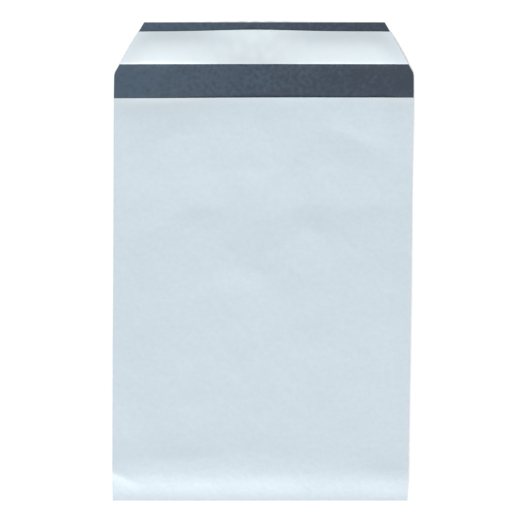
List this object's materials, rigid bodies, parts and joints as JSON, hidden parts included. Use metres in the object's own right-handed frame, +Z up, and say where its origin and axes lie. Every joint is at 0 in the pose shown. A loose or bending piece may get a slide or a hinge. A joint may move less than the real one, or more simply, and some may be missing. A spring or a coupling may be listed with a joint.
{
  "type": "poly mailer bag",
  "caption": "Flat plastic-film shipping envelope, open at the mouth, with a tapered closing flap that carries a glue strip under a peel-off liner.",
  "frame": {"origin": "on the resting face of the back panel, under the middle of the opened bag's box", "axes": "+X across the bag, +Y from the bottom fold to the flap's free edge, +Z up out of the front panel"},
  "size_m": [0.165, 0.2636, 0.005],
  "materials": {
    "film": "satin polyethylene film, white outside and dark grey inside",
    "adhesive": "clear tacky hot-melt glue",
    "liner": "silicone-coated release film"
  },
  "bodies": {
    "root": {"bag_film": "film", "adhesive_strip": "adhesive", "release_liner": "liner"}
  },
  "joints": []
}
